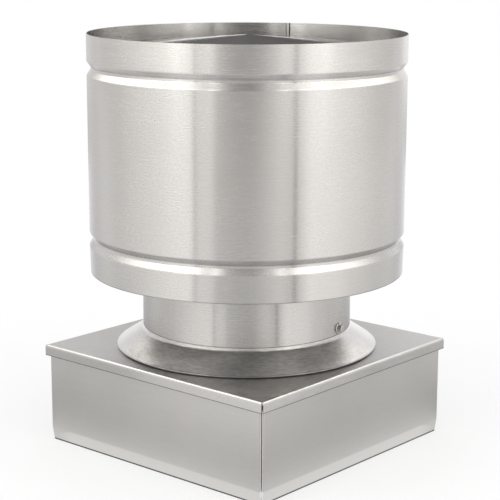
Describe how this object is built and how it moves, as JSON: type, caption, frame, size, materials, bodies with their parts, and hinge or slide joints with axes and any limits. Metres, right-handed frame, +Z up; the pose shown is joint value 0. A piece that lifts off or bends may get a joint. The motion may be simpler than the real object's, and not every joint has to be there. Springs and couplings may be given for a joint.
{
  "type": "chimney cowl",
  "caption": "Square-based chimney cowl in brushed stainless steel: a slip-over skirt, a spun collar and stem, and a wide open drum round a low rain cap.",
  "frame": {"origin": "middle of the skirt's bottom edge, on the upright axis of the stem and drum", "axes": "+Z up along the stem and drum, +X and +Y square to the walls of the skirt"},
  "size_m": [0.381, 0.381, 0.5],
  "materials": {
    "brushed_sheet": "brushed stainless steel sheet, fine lines, satin",
    "strap_steel": "rolled stainless steel strip, dull satin",
    "fastener_steel": "plain stainless steel, smooth"
  },
  "bodies": {
    "root": {"skirt_left_half": "brushed_sheet", "skirt_right_half": "brushed_sheet", "base_lid": "brushed_sheet", "cone_collar": "brushed_sheet", "stem": "brushed_sheet", "outer_shell": "brushed_sheet", "inner_cap": "brushed_sheet", "shell_bracket_1": "strap_steel", "shell_bracket_2": "strap_steel", "shell_bracket_3": "strap_steel", "shell_bracket_4": "strap_steel", "cap_leg_1": "strap_steel", "cap_leg_2": "strap_steel", "cap_leg_3": "strap_steel", "cap_leg_4": "strap_steel", "bracket_rivet_1a": "fastener_steel", "bracket_rivet_1b": "fastener_steel", "bracket_rivet_2a": "fastener_steel", "bracket_rivet_2b": "fastener_steel", "bracket_rivet_3a": "fastener_steel", "bracket_rivet_3b": "fastener_steel", "bracket_rivet_4a": "fastener_steel", "bracket_rivet_4b": "fastener_steel", "leg_rivet_1a": "fastener_steel", "leg_rivet_1b": "fastener_steel", "leg_rivet_2a": "fastener_steel", "leg_rivet_2b": "fastener_steel", "leg_rivet_3a": "fastener_steel", "leg_rivet_3b": "fastener_steel", "leg_rivet_4a": "fastener_steel", "leg_rivet_4b": "fastener_steel", "cap_rivet_1": "fastener_steel", "cap_rivet_2": "fastener_steel", "cap_rivet_3": "fastener_steel", "cap_rivet_4": "fastener_steel", "neck_screw_1": "fastener_steel", "neck_screw_2": "fastener_steel"}
  },
  "joints": []
}
